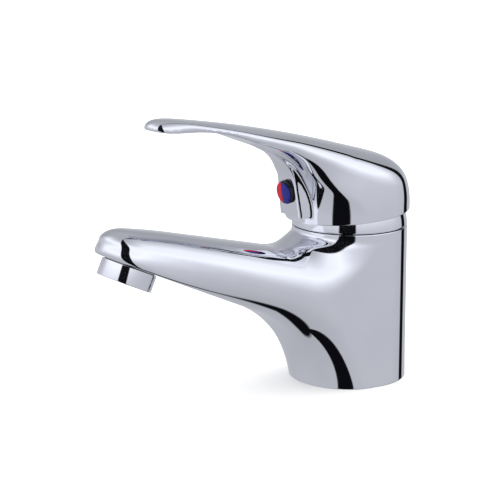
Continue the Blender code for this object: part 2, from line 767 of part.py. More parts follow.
def make_marker(name, side, colour, frame):
    """Half of the plug's face; side is -1 for hot and +1 for cold."""
    low = NOSE_FACE + PLUG_PROUD + GAP
    radius = PLUG_RADIUS - 0.1 * MM
    turns = [-math.pi / 2 + k * math.pi / 12 for k in range(13)]
    edge = 0.15 * MM
    outline = [(side * (edge + radius * math.cos(a)), radius * math.sin(a)) for a in turns]
    marker = prism(name, outline, low, low + MARKER_THICKNESS, plastic(name + "_plastic", colour))
    facing_forward(marker, frame)


# ---------------------------------------------------------------- aerator


def make_aerator_housing():
    collar_high = 5.5 * MM
    profile = [
        (AERATOR_RADIUS - 1.15 * MM, collar_high),
        (AERATOR_RADIUS - 1.15 * MM, -GAP),
        (AERATOR_RADIUS, -GAP),
        (AERATOR_RADIUS, -AERATOR_EXPOSED),
        (8.4 * MM, -AERATOR_EXPOSED),
        (8.4 * MM, -AERATOR_EXPOSED + 1 * MM),
        (9.6 * MM, -AERATOR_EXPOSED + 1 * MM),
        (9.6 * MM, collar_high),
    ]
    housing = turned("aerator_housing", profile, chrome("aerator_chrome"), 40)
    place(housing, AERATOR_SEAT, -AERATOR_TILT)


def make_aerator_washer():
    washer = tube("aerator_washer", 10.9 * MM, 8.2 * MM, 5.8 * MM, 7.8 * MM, rubber("washer_rubber"), 32)
    place(washer, AERATOR_SEAT, -AERATOR_TILT)


def ring_of_places(radius, count):
    turns = [2 * math.pi * k / count for k in range(count)]
    return [(radius * math.cos(a), radius * math.sin(a)) for a in turns]


def make_aerator_core():
    look = plastic("aerator_core_plastic", (0.85, 0.85, 0.85))
    core = cylinder("aerator_core", 9.3 * MM, 1.5 * MM, 4 * MM, look, 32)
    cut(core, bores("cut_core_jets", ring_of_places(6.3 * MM, 10), 1.1 * MM, 0.0, 6 * MM, 8))
    move_cutters_with(core)
    place(core, AERATOR_SEAT, -AERATOR_TILT)


def make_aerator_screen():
    look = plastic("aerator_screen_plastic", (0.8, 0.8, 0.82))
    low = -AERATOR_EXPOSED + 1.3 * MM
    screen = cylinder("aerator_screen", 9.3 * MM, low, low + 1 * MM, look, 32)
    places = [(0, 0)] + ring_of_places(3 * MM, 6) + ring_of_places(6 * MM, 12)
    cut(screen, bores("cut_screen_holes", places, 1.1 * MM, low - 1 * MM, low + 2 * MM, 6))
    move_cutters_with(screen)
    place(screen, AERATOR_SEAT, -AERATOR_TILT)


# ---------------------------------------------------------------- assembly


def main():
    clear_scene()
    make_body()
    make_base_gasket()
    make_bonnet_ring()
    make_retaining_nut()
    make_cartridge_base()
    make_port_seals()
    make_disc_seal()
    make_fixed_disc()
    make_moving_disc()
    make_disc_carrier()
    make_cartridge_housing()
    make_housing_o_ring()
    make_turret()
    make_pivot_pin()
    make_limit_ring()
    make_spindle()
    frame = stem_frame("stem_frame")
    make_handle_lever(frame)
    make_handle_screw(frame)
    make_indicator_plug(frame)
    make_marker("hot_marker", -1, (0.75, 0.02, 0.05), frame)
    make_marker("cold_marker", 1, (0.04, 0.05, 0.45), frame)
    make_aerator_housing()
    make_aerator_washer()
    make_aerator_core()
    make_aerator_screen()


if __name__ == "__main__":
    main()
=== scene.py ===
"""Looks of the single-lever basin mixer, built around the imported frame.

Metres, +Z up. The foot's centre is the origin, the spout points along -Y and +X is the
cold side. The cast shapes have the same formulas as the frame's, meshed more finely.
"""

import json
import math

import bmesh
import bpy
import numpy as np
from mathutils import Matrix, Vector

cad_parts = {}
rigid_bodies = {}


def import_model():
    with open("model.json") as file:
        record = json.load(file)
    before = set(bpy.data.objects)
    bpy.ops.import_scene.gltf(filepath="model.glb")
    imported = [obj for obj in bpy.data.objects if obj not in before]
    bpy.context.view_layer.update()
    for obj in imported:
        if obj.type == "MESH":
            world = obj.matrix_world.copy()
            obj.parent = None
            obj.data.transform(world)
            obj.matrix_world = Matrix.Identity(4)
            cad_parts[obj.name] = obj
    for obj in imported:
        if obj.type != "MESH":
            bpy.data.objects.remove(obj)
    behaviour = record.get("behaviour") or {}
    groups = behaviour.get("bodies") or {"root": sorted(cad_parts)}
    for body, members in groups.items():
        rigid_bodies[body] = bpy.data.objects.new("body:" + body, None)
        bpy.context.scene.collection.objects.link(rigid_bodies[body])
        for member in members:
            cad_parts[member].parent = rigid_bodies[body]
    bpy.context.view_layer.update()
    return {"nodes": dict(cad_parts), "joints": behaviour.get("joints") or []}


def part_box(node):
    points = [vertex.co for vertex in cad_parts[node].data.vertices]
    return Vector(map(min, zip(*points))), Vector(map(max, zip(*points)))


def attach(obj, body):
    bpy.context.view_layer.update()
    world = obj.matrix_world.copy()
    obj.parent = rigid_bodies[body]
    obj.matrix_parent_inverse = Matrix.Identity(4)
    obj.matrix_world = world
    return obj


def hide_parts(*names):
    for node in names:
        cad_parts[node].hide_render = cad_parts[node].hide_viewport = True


for startup_object in list(bpy.data.objects):
    bpy.data.objects.remove(startup_object, do_unlink=True)

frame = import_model()

MM = 0.001
GAP = 0.3 * MM

# Places that the frame gives.
PIVOT = Vector(frame["joints"][0]["pos_m"])
RING_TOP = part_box("bonnet_ring")[1].z
RING_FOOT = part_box("bonnet_ring")[0].z
BODY_HEIGHT = RING_FOOT - GAP

# Body.
BARREL_RADIUS = 26.4 * MM
SPOUT_REACH = 115.0 * MM
SPOUT_TIP_RADIUS = 16.0 * MM
SPOUT_TOP_AT_AXIS = 56.0 * MM
SPOUT_TOP_RISE = 0.232
SPOUT_CROWN_RADIUS = 42.0 * MM
SPOUT_DROOP, SPOUT_DROOP_FROM = 0.0016 / MM, 95.0 * MM
SPOUT_EDGE = 13.0 * MM
NECK_FILLET, NECK_FILLET_BELOW, NECK_TUCK = 20.0 * MM, 12.0 * MM, 15.0 * MM
AERATOR_TILT = math.radians(24.4)
AERATOR_SEAT = Vector((0.0, -115.8 * MM, 66.3 * MM))
CHAMBER_RADIUS = 20.4 * MM
CHAMBER_FLOOR = 45.0 * MM
NUT_BORE_RADIUS = 22.6 * MM
NUT_SHOULDER = 61.0 * MM
GROOVE_OUTER, GROOVE_INNER, GROOVE_DEPTH = 23.4 * MM, 20.6 * MM, 2.0 * MM
INLET_RADIUS = 4.6 * MM
INLETS = ((-9.0 * MM, 5.0 * MM), (9.0 * MM, 5.0 * MM))
STUD_RADIUS, STUD_DEPTH = 3.4 * MM, 18.0 * MM
STUD = (0.0, 14.5 * MM)

# Ring.
RING_SPHERE_RADIUS = 26.35 * MM
RING_BORE_RADIUS = 22.9 * MM
RING_LIP_RADIUS, RING_LIP_THICKNESS = 16.2 * MM, 1.8 * MM

# Handle.
SKIRT_SPHERE_RADIUS = 26.75 * MM
HANDLE_RADIUS = 27.4 * MM
HANDLE_TOP_AT_AXIS = 107.2 * MM
HANDLE_TOP_RISE = 0.262
HANDLE_CROWN_RADIUS = 52.0 * MM
HANDLE_ARCH, HANDLE_ARCH_FROM = 0.00085 / MM, 20.0 * MM
HANDLE_DROOP, HANDLE_DROOP_FROM = 0.005 / MM, 90.0 * MM
SKIRT_MIDDLE_HEIGHT = 77.2 * MM
SKIRT_TILT = math.radians(4.2)
STEM_TILT = math.radians(10.0)
NOSE_FRONT, NOSE_LEAN, NOSE_MIDDLE = 34.2 * MM, 0.14, 85.0 * MM
NOSE_CORNER = (7.5 * MM, 33.8 * MM)
NOSE_FLANK_TURN = math.radians(66)
NOSE_BOTTOM = 78.2 * MM
NOSE_BACK = 8.0 * MM
NOSE_FILLET = 3.0 * MM
LEVER_LEVEL = 121.9 * MM
LEVER_ROOT = (76.0 * MM, 121.5 * MM)
LEVER_ROOT_RISE = 0.4
LEVER_CURL, LEVER_CURL_FROM = 0.008 / MM, 94.0 * MM
LEVER_TIP = 107.5 * MM
TIP_RADIUS = 8.0 * MM
LEVER_FILLET = 5.0 * MM
CLEAR_BEHIND = 60.0 * MM
DOME_WAIST = 80.0 * MM
DOME_CLIMB = 23.0 * MM
DOME_FRONT = 30.1 * MM
DOME_SWELL_AHEAD, DOME_SWELL_ASIDE = 6.0 * MM, 4.0 * MM
DOME_POWER, DOME_POWER_GAIN = 2.05, 0.9
CREST_POWER, CREST_POWER_GAIN = 2.3, 3
FLANK_CURVE = 170.0 * MM
SHOULDER_EDGE, SHOULDER_EDGE_BEHIND = 9.5 * MM, 5.0 * MM
# Cosines that turn a height above a sloping face into a distance from it, near enough.
UNDERSIDE_COSINE, NOSE_COSINE, TOP_COSINE = 0.95, 0.99, 0.97
BOSS_RADIUS = 8.5 * MM
BOSS_LOW = 14.5 * MM
SCREW_HEIGHT = 24.7 * MM
NOSE_FACE = 31.0 * MM

# Indicator and aerator.
PLUG_RADIUS = 5.3 * MM
PLUG_PROUD = 1.5 * MM
PLUG_SHANK_RADIUS = 4.0 * MM
PLUG_SHANK_END = 25.0 * MM
PLUG_SEAT_RADIUS = 5.8 * MM
PLUG_SEAT_DEPTH = 1.1 * MM
PLUG_SEAT_MOUTH = 40.0 * MM
PLUG_CAP_DEPTH = 0.8 * MM
PLUG_ROUNDING = 0.25 * MM
MARKER_THICKNESS = 0.7 * MM
MARKER_RIM, MARKER_GAP, MARKER_DOME = 0.45 * MM, 0.15 * MM, 0.35 * MM
MARKER_SHOULDER, MARKER_SHOULDER_DROP = 0.9, 0.3 * MM
AERATOR_RADIUS = 12.25 * MM
AERATOR_EXPOSED = 7.8 * MM
AERATOR_BORE_RADIUS = 11.4 * MM
AERATOR_BORE_DEPTH = 8.5 * MM
SLEEVE_COLLAR_RADIUS, SLEEVE_COLLAR_HEIGHT = 11.1 * MM, 5.5 * MM
SLEEVE_BORE_RADIUS = 9.6 * MM
SLEEVE_LIP_RADIUS, SLEEVE_LIP_THICKNESS = 8.4 * MM, 1.0 * MM
SCREEN_RADIUS, SCREEN_THICKNESS = 9.3 * MM, 1.0 * MM
CELL_PITCH, CELL_WALL, CELL_MARGIN = 2.0 * MM, 0.35 * MM, 0.6 * MM

# Studio: azimuths in degrees from the front towards the cold side, heights as sines.
FRONT_FLAG = (34, 65, 2.5)
BACK_FLAG = (181, 194, 2.5)
DARK_TABLE = (-0.975, -0.955)
BACKDROP_MIDDLE = 235
BACKDROP_REACH = (math.radians(45), math.radians(85))
FLAG_BLACK = (0.004, 0.004, 0.006, 1.0)
ROOM_BRIGHTNESS = 1.6
STUDIO_TINT = (0.96, 0.978, 1.06)
ROOM_TONES = (
    (-1, 0.5),
    (-0.6, 0.56),
    (-0.29, 0.6),
    (-0.05, 0.68),
    (0.2, 0.88),
    (0.45, 1.2),
    (0.7, 1.1),
    (0.85, 0.8),
    (1, 0.5),
)
BACKDROP_TONES = (
    (-1, 0.5),
    (-0.29, 0.55),
    (0, 0.6),
    (0.2, 0.46),
    (0.5, 0.42),
    (0.8, 0.5),
    (1, 0.5),
)
FLOOR_SIZE = 6.0

# Camera, from a perspective fit of the foot, the ring and the aerator; the lens is in mm.
CAMERA_AZIMUTH, CAMERA_ELEVATION = math.radians(53), math.radians(16.75)
CAMERA_DISTANCE = 0.842
CAMERA_PITCH, CAMERA_YAW = math.radians(12.89), math.radians(3.23)
CAMERA_SENSOR, CAMERA_LENS = 36.0, 129.6

# Meshing: each cast shape's grid as its lowest and highest corners.
CAST_STEP = 0.8 * MM
BODY_GRID = ((-32 * MM, -138 * MM, -4 * MM), (32 * MM, 32 * MM, BODY_HEIGHT + 12 * MM))
HANDLE_GRID = ((-32 * MM, -112 * MM, 66 * MM), (32 * MM, 32 * MM, 132 * MM))
TRIM_REACH = 42.0 * MM
CUT_PAST = 1.0 * MM
WELD_REACH = 1e-7
RIM_ROUNDING = 0.5 * MM
EDGE_ROUNDING = 0.35 * MM
RING_ROUNDING = 0.6 * MM
RELAX_ROUNDS = 4
NORMAL_ROUNDS = 2


# ---------------------------------------------------------------- the cast shapes


def blend_out(a, b, width):
    """The larger of two distances with a rounded edge."""
    reach = np.maximum(width - np.abs(a - b), 0.0) / width
    return np.maximum(a, b) + reach * reach * width / 4


def blend_in(a, b, width):
    """The smaller of two distances with a filled-in corner."""
    return -blend_out(-a, -b, width)


def ramp(value, start, end):
    """Rises smoothly from 0 at the start to 1 at the end, which may lie on either side."""
    t = np.clip((value - start) / (end - start), 0.0, 1.0)
    return t * t * (3 - 2 * t)


def tapered_outline(side, ahead, back_radius, tip_radius, reach):
    """Distance from above to two circles, round the axis and round the tip, joined by tangents."""
    lean = (back_radius - tip_radius) / reach
    straight = math.sqrt(1 - lean * lean)
    side = np.abs(side)
    along = straight * ahead - lean * side
    flank = straight * side + lean * ahead - back_radius
    round_tip = np.hypot(side, ahead - reach) - tip_radius
    round_back = np.hypot(side, ahead) - back_radius
    outline = np.where(along < 0, round_back, flank)
    return np.where(along > straight * reach, round_tip, outline)


def spout_top(side, ahead):
    """Height of the spout's top."""
    crown = side * side / (2 * SPOUT_CROWN_RADIUS)
    droop = SPOUT_DROOP * np.maximum(ahead - SPOUT_DROOP_FROM, 0.0) ** 2
    return SPOUT_TOP_AT_AXIS + SPOUT_TOP_RISE * ahead - crown - droop


def spout_underside(ahead):
    """Height of the spout's underside, in the plane of the aerator's seat."""
    return AERATOR_SEAT.z + math.tan(AERATOR_TILT) * (ahead + AERATOR_SEAT.y)


def body_field(x, y, z):
    """Signed distance, near enough, to the barrel and spout; the barrel runs on past both ends."""
    ahead = -y
    outline = tapered_outline(x, ahead, BARREL_RADIUS, SPOUT_TIP_RADIUS, SPOUT_REACH)
    top = (z - spout_top(x, ahead)) * math.cos(math.atan(SPOUT_TOP_RISE))
    under = (spout_underside(ahead) - z) * math.cos(AERATOR_TILT)
    barrel = np.hypot(x, y) - BARREL_RADIUS
    fillet = NECK_FILLET + NECK_FILLET_BELOW * ramp(z, 60 * MM, 42 * MM)
    fillet = fillet - NECK_TUCK * ramp(z, 65 * MM, 72 * MM)
    spout = blend_out(top, under, 5 * MM + 5 * MM * ramp(ahead, 112 * MM, 70 * MM))
    core = blend_in(barrel, spout, fillet)
    lower_edge = 2 * MM + SPOUT_EDGE * ramp(ahead, 112 * MM, 50 * MM)
    floor = spout_underside(ahead)
    upper = ramp((z - floor) / (spout_top(0 * x, ahead) - floor), 0.0, 0.55)
    edge = lower_edge + (SPOUT_EDGE - lower_edge) * upper
    edge = 0.1 * MM + edge * ramp(ahead, 2 * MM, 36 * MM)
    return blend_out(outline, core, edge)


def handle_top(side, ahead):
    """Height of the top of the dome and lever."""
    crown = side * side / (2 * HANDLE_CROWN_RADIUS)
    arch = HANDLE_ARCH * np.maximum(ahead - HANDLE_ARCH_FROM, 0.0) ** 2
    droop = HANDLE_DROOP * np.maximum(ahead - HANDLE_DROOP_FROM, 0.0) ** 2
    return HANDLE_TOP_AT_AXIS + HANDLE_TOP_RISE * ahead - crown - arch - droop


def lever_underside(ahead):
    """Height of the lever's underside: rising, then level, then curled up at the tip."""
    root = LEVER_ROOT[1] + LEVER_ROOT_RISE * (ahead - LEVER_ROOT[0])
    tip = LEVER_CURL * np.maximum(ahead - LEVER_CURL_FROM, 0.0) ** 2
    behind = CLEAR_BEHIND * ramp(ahead, 16 * MM, -4 * MM)
    return blend_in(LEVER_LEVEL, root, 5 * MM) + tip + behind


def dome_field(x, ahead, z):
    """The dome: round behind and at its foot, squarer and further forward as it climbs."""
    climb = np.clip((z - DOME_WAIST) / DOME_CLIMB, 0.0, 1.6) ** 2.0
    power = DOME_POWER + DOME_POWER_GAIN * climb
    front = DOME_FRONT + DOME_SWELL_AHEAD * climb
    side = np.abs(x) / (HANDLE_RADIUS + DOME_SWELL_ASIDE * climb)
    forward = np.maximum(ahead, 0.0) / front
    across = np.where(
        ahead > 0,
        (side**power + forward**power) ** (1 / power),
        np.hypot(side, ahead / HANDLE_RADIUS),
    )
    spare = 3 * MM + 5 * MM * ramp(ahead, -24 * MM, 26 * MM)
    height = handle_top(0 * x, ahead) + spare - DOME_WAIST
    rise = np.clip((z - DOME_WAIST) / height, 0.0, None)
    squareness = CREST_POWER + CREST_POWER_GAIN * ramp(ahead, -26 * MM, 16 * MM)
    return ((across**squareness + rise**squareness) ** (1 / squareness) - 1) * HANDLE_RADIUS


def handle_field(x, y, z):
    """Signed distance, near enough, to the dome with its nose and lever, before it is hollowed."""
    ahead = -y
    under = lever_underside(ahead) - z
    outline = tapered_outline(x, ahead, HANDLE_RADIUS, TIP_RADIUS, LEVER_TIP - TIP_RADIUS)
    lean = np.maximum(z - DOME_WAIST, 0.0) ** 2 / (2 * FLANK_CURVE)
    outline = outline + lean * ramp(ahead, 60 * MM, 5 * MM)
    edge = 0.1 * MM + 1.4 * MM * ramp(ahead, 30 * MM, 60 * MM)
    shoulder = ramp(ahead, 4 * MM, 26 * MM) * ramp(ahead, 66 * MM, 38 * MM)
    shoulder = SHOULDER_EDGE * shoulder + SHOULDER_EDGE_BEHIND * ramp(ahead, 26 * MM, 4 * MM)
    edge = edge + shoulder * ramp(z, 84 * MM, 105 * MM)
    core = blend_in(dome_field(x, ahead, z), under * UNDERSIDE_COSINE, LEVER_FILLET)
    lever = blend_out(outline, core, edge)
    face = (ahead - NOSE_FRONT - NOSE_LEAN * (z - NOSE_MIDDLE)) * NOSE_COSINE
    aside, forward = np.abs(x) - NOSE_CORNER[0], ahead - NOSE_CORNER[1]
    flank = math.sin(NOSE_FLANK_TURN) * aside + math.cos(NOSE_FLANK_TURN) * forward
    nose = blend_out(flank, blend_in(face, under, 12 * MM), 1.0 * MM)
    nose = np.maximum(nose, np.maximum(NOSE_BACK - ahead, NOSE_BOTTOM - z))
    whole = blend_in(lever, nose, 0.6 * MM + NOSE_FILLET * ramp(z, 88 * MM, 104 * MM))
    top_edge = 7 * MM - 5 * MM * ramp(ahead, 30 * MM, 70 * MM)
    top_edge = top_edge + 4 * MM * ramp(ahead, 88 * MM, 104 * MM)
    return blend_out(whole, (z - handle_top(x, ahead)) * TOP_COSINE, top_edge)


# ---------------------------------------------------------------- meshing


def slope(field, points):
    """The field's gradient at each point."""
    small = 0.02 * MM
    found = np.empty_like(points)
    for axis in range(3):
        step = np.zeros(3)
        step[axis] = small
        found[:, axis] = (field(*(points + step).T) - field(*(points - step).T)) / (2 * small)
    return found


def on_surface(field, points, rounds):
    """Moves points along the field's slope until they lie on its zero surface."""
    least = 0.05
    for _ in range(rounds):
        direction = slope(field, points)
        size = np.maximum((direction**2).sum(1), least)
        points = points - (field(*points.T) / size)[:, None] * direction
    return points


def relaxed(points, quads):
    """Each point moved halfway to the middle of its neighbours, which evens the quads."""
    total = np.zeros_like(points)
    number = np.zeros(len(points))
    for side in range(4):
        near, far = quads[:, side], quads[:, (side + 1) % 4]
        np.add.at(total, near, points[far])
        np.add.at(total, far, points[near])
        np.add.at(number, near, 1)
        np.add.at(number, far, 1)
    return (points + total / number[:, None]) / 2


def surface_net(field, low, high):
    """Quads over the zero surface of a field: one vertex in each grid cell that it crosses."""
    axes = [np.arange(a, b + CAST_STEP, CAST_STEP) for a, b in zip(low, high)]
    grid = np.stack(np.meshgrid(*axes, indexing="ij"), axis=-1)
    inside = field(grid[..., 0], grid[..., 1], grid[..., 2]) < 0
    cells = tuple(n - 1 for n in inside.shape)
    count = np.zeros(cells, int)
    for i in (0, 1):
        for j in (0, 1):
            for k in (0, 1):
                count += inside[i : i + cells[0], j : j + cells[1], k : k + cells[2]]
    crossed = (count > 0) & (count < 8)
    index = np.full(cells, -1)
    index[crossed] = np.arange(crossed.sum())
    points = grid[:-1, :-1, :-1][crossed] + CAST_STEP / 2
    quads = []
    for axis in range(3):
        first, second = [other for other in range(3) if other != axis]
        here = np.moveaxis(inside, (axis, first, second), (0, 1, 2))
        numbered = np.moveaxis(index, (axis, first, second), (0, 1, 2))
        near, far = here[:-1, 1:-1, 1:-1], here[1:, 1:-1, 1:-1]
        at = np.argwhere(near != far) + (0, 1, 1)
        corners = [
            numbered[at[:, 0], at[:, 1] - a, at[:, 2] - b]
            for a, b in ((0, 0), (1, 0), (1, 1), (0, 1))
        ]
        facing = (near[near != far]) ^ (axis == 1)
        ring = np.stack(corners, axis=1)
        quads.append(np.where(facing[:, None], ring, ring[:, ::-1]))
    quads = np.concatenate(quads)
    points = on_surface(field, points, 3)
    for _ in range(RELAX_ROUNDS):
        points = on_surface(field, relaxed(points, quads), 2)
    return points, quads


def cast_shell(field, low, high):
    """The field's surface inside the box, open where the box cuts it, as a bmesh."""
    points, quads = surface_net(field, low, high)
    shell = bmesh.new()
    verts = [shell.verts.new(point) for point in points]
    for quad in quads:
        shell.faces.new([verts[i] for i in quad])
    return shell


def trim(shell, place, facing):
    """Cuts away what lies beyond a plane, round the upright axis, and gives the cut in order."""
    faces = [f for f in shell.faces if f.calc_center_median().xy.length < TRIM_REACH]
    edges = list(dict.fromkeys(e for f in faces for e in f.edges))
    verts = list(dict.fromkeys(v for f in faces for v in f.verts))
    bmesh.ops.bisect_plane(
        shell,
        geom=verts + edges + faces,
        dist=WELD_REACH,
        plane_co=place,
        plane_no=facing,
        clear_outer=True,
    )
    near = {v for v in shell.verts if abs((v.co - place).dot(facing)) < 10 * WELD_REACH}
    rim = [e for e in shell.edges if e.is_boundary and all(v in near for v in e.verts)]
    return ordered(rim)


def ordered(edges):
    """The vertices of a closed loop of edges, in turn."""
    neighbours = {}
    for edge in edges:
        a, b = edge.verts
        neighbours.setdefault(a, []).append(b)
        neighbours.setdefault(b, []).append(a)
    start = edges[0].verts[0]
    loop, previous, here = [start], None, start
    while True:
        onward = [v for v in neighbours[here] if v is not previous]
        previous, here = here, onward[0]
        if here is start:
            return loop
        loop.append(here)


def skin(shell, loop, rings, closing=None):
    """Quads from a loop through further rings of points, closed by a fan if a point is given."""
    for ring in rings:
        made = [shell.verts.new(point) for point in ring]
        for i in range(len(loop)):
            j = (i + 1) % len(loop)
            shell.faces.new((loop[i], loop[j], made[j], made[i]))
        loop = made
    if closing is not None:
        tip = shell.verts.new(closing)
        for i in range(len(loop)):
            shell.faces.new((loop[i], loop[(i + 1) % len(loop)], tip))


def rolled_rim(field, loop, facing, radius, steps=4):
    """Rings that round the edge between a cast surface and the plane beyond it."""
    points = np.array([v.co for v in loop])
    outward = slope(field, points)
    facing = np.array(facing)
    outward -= (outward @ facing)[:, None] * facing
    outward /= np.linalg.norm(outward, axis=1)[:, None]
    rings = []
    for k in range(1, steps + 1):
        turn = math.pi / 2 * k / steps
        rings.append(
            points - radius * (1 - math.cos(turn)) * outward + radius * math.sin(turn) * facing
        )
    return rings


def circle_through(loop, profile):
    """Rings at each (radius, height), with each point in the direction of the loop's."""
    around = [math.atan2(v.co.y, v.co.x) for v in loop]
    return [
        [(radius * math.cos(a), radius * math.sin(a), height) for a in around]
        for radius, height in profile
    ]


def finished(name, shape):
    """An object made from a bmesh, which it uses up."""
    bmesh.ops.recalc_face_normals(shape, faces=shape.faces)
    mesh = bpy.data.meshes.new(name)
    shape.to_mesh(mesh)
    shape.free()
    obj = bpy.data.objects.new(name, mesh)
    bpy.context.scene.collection.objects.link(obj)
    return obj


def bore(obj, *cutters):
    """Cuts each cutter out of an object for good."""
    for cutter in cutters:
        modifier = obj.modifiers.new(cutter.name, "BOOLEAN")
        modifier.operation = "DIFFERENCE"
        modifier.object = cutter
    graph = bpy.context.evaluated_depsgraph_get()
    solid = bpy.data.meshes.new_from_object(obj.evaluated_get(graph))
    obj.modifiers.clear()
    obj.data = solid
    for cutter in cutters:
        bpy.data.objects.remove(cutter, do_unlink=True)


def smooth(obj, angle=35):
    """Smooth shading, but for edges sharper than an angle in degrees."""
    obj.data.shade_smooth()
    obj.data.set_sharp_from_angle(angle=math.radians(angle))


def polish(obj, field):
    """Takes the cast faces' normals from the shape itself, so that reflections run smoothly."""
    on_cast, same_edge_side, same_face_side = 0.01 * MM, 0.8, 0.6
    smooth(obj)
    mesh = obj.data
    points = np.array([v.co for v in mesh.vertices], float)
    normals = slope(field, points)
    normals /= np.maximum(np.linalg.norm(normals, axis=1), 1e-9)[:, None]
    cast = np.abs(field(*points.T)) < on_cast
    ends = np.array([edge.vertices for edge in mesh.edges])
    alike = (normals[ends[:, 0]] * normals[ends[:, 1]]).sum(1) > same_edge_side
    ends = ends[cast[ends].all(axis=1) & alike]
    for _ in range(NORMAL_ROUNDS):
        total = normals.copy()
        np.add.at(total, ends[:, 0], normals[ends[:, 1]])
        np.add.at(total, ends[:, 1], normals[ends[:, 0]])
        normals = total / np.linalg.norm(total, axis=1)[:, None]
    corners = np.empty(len(mesh.loops), np.int32)
    mesh.loops.foreach_get("vertex_index", corners)
    found = np.array([corner.vector for corner in mesh.corner_normals], float)
    faces = np.array([face.normal for face in mesh.polygons], float)
    sides = np.array([face.loop_total for face in mesh.polygons])
    agree = (np.repeat(faces, sides, axis=0) * normals[corners]).sum(1) > same_face_side
    taken = cast[corners] & agree
    found[taken] = normals[corners][taken]
    mesh.normals_split_custom_set(found.tolist())


def softened(corners, radius=EDGE_ROUNDING, steps=4):
    """A closed (radius, height) outline with its corners off the axis rounded."""
    most = 0.45
    points = []
    for i, corner in enumerate(corners):
        corner = Vector(corner)
        if corner.x < WELD_REACH:
            points.append(corner)
            continue
        before = Vector(corners[i - 1]) - corner
        after = Vector(corners[(i + 1) % len(corners)]) - corner
        reach = min(radius, most * before.length, most * after.length)
        start = corner + before.normalized() * reach
        end = corner + after.normalized() * reach
        for k in range(steps + 1):
            t = k / steps
            points.append(start * (1 - t) ** 2 + corner * 2 * t * (1 - t) + end * t**2)
    return [(point.x, point.y) for point in points]


def turned(name, profile, segments=128):
    """A solid of revolution about +Z from (radius, height) points; points on the axis close it."""
    shape = bmesh.new()
    verts = [shape.verts.new((radius, 0.0, height)) for radius, height in profile]
    edges = [shape.edges.new(pair) for pair in zip(verts, verts[1:])]
    if profile[0][0] > 0 or profile[-1][0] > 0:
        edges.append(shape.edges.new((verts[-1], verts[0])))
    bmesh.ops.spin(
        shape,
        geom=verts + edges,
        cent=(0, 0, 0),
        axis=(0, 0, 1),
        angle=2 * math.pi,
        steps=segments,
        use_merge=True,
    )
    bmesh.ops.remove_doubles(shape, verts=shape.verts, dist=WELD_REACH)
    obj = finished(name, shape)
    smooth(obj)
    return obj


def cylinder(name, radius, low, high, segments=96):
    """A cylinder about +Z between two heights."""
    return turned(name, [(0, high), (radius, high), (radius, low), (0, low)], segments)


def settle(obj, matrix):
    """Moves an object's mesh to its place, leaving the object at the origin."""
    obj.data.transform(matrix)
    return obj


def aerator_frame():
    """+Z up the aerator's axis, into the spout, from the plane of its seat."""
    return Matrix.Translation(AERATOR_SEAT) @ Matrix.Rotation(-AERATOR_TILT, 4, "X")


def stem_frame():
    """+Z up the leaning stem, from the pivot."""
    return Matrix.Translation(PIVOT) @ Matrix.Rotation(STEM_TILT, 4, "X")


def screw_frame():
    """+Z along the handle screw, out of the nose; +Y up the stem."""
    up_stem = Matrix.Translation((0, 0, SCREW_HEIGHT))
    return stem_frame() @ up_stem @ Matrix.Rotation(math.pi / 2, 4, "X")


# ---------------------------------------------------------------- materials


def new_material(name):
    made = bpy.data.materials.new(name)
    made.use_nodes = True
    return made, made.node_tree, made.node_tree.nodes["Principled BSDF"]


def noise(tree, scale, detail):
    """Noise that is fixed to the object, at so many lumps to the metre."""
    node = tree.nodes.new("ShaderNodeTexNoise")
    node.inputs["Scale"].default_value = scale
    node.inputs["Detail"].default_value = detail
    place = tree.nodes.new("ShaderNodeTexCoord")
    tree.links.new(place.outputs["Object"], node.inputs["Vector"])
    return node.outputs["Fac"]


def spread(tree, value, low, high, start=0.3, end=0.7):
    """Maps the values from start to end, by default a noise's, to those from low to high."""
    node = tree.nodes.new("ShaderNodeMapRange")
    for socket, number in zip(node.inputs[1:5], (start, end, low, high)):
        socket.default_value = number
    tree.links.new(value, node.inputs[0])
    return node.outputs[0]


def tinted(tree, value, low, high):
    """A colour between two, by a value from 0 to 1."""
    node = tree.nodes.new("ShaderNodeMix")
    node.data_type = "RGBA"
    node.inputs[6].default_value = (*low, 1.0)
    node.inputs[7].default_value = (*high, 1.0)
    tree.links.new(value, node.inputs[0])
    return node.outputs[2]


def bump(tree, shader, height, strength, distance):
    node = tree.nodes.new("ShaderNodeBump")
    node.inputs["Strength"].default_value = strength
    node.inputs["Distance"].default_value = distance
    tree.links.new(height, node.inputs["Height"])
    tree.links.new(node.outputs["Normal"], shader.inputs["Normal"])


def chrome(name="chrome_plate"):
    """Bright chrome: a near mirror with a faint cast ripple and a trace of wiping haze."""
    made, tree, shader = new_material(name)
    shader.inputs["Metallic"].default_value = 1.0
    haze = spread(tree, noise(tree, 60, 4), 0.0, 1.0)
    tint = tinted(tree, haze, (0.80, 0.81, 0.85), (0.83, 0.84, 0.87))
    tree.links.new(tint, shader.inputs["Base Color"])
    tree.links.new(spread(tree, noise(tree, 220, 5), 0.03, 0.065), shader.inputs["Roughness"])
    bump(tree, shader, noise(tree, 90, 2), 0.03, 0.0002)
    return made


def plain_metal(name, low, high, rough, scale):
    """Bare machined metal, mottled between two colours."""
    made, tree, shader = new_material(name)
    shader.inputs["Metallic"].default_value = 1.0
    mottle = spread(tree, noise(tree, scale, 5), 0.0, 1.0)
    tree.links.new(tinted(tree, mottle, low, high), shader.inputs["Base Color"])
    tree.links.new(spread(tree, noise(tree, scale * 3, 4), *rough), shader.inputs["Roughness"])
    bump(tree, shader, noise(tree, scale * 6, 4), 0.15, 0.0001)
    return made


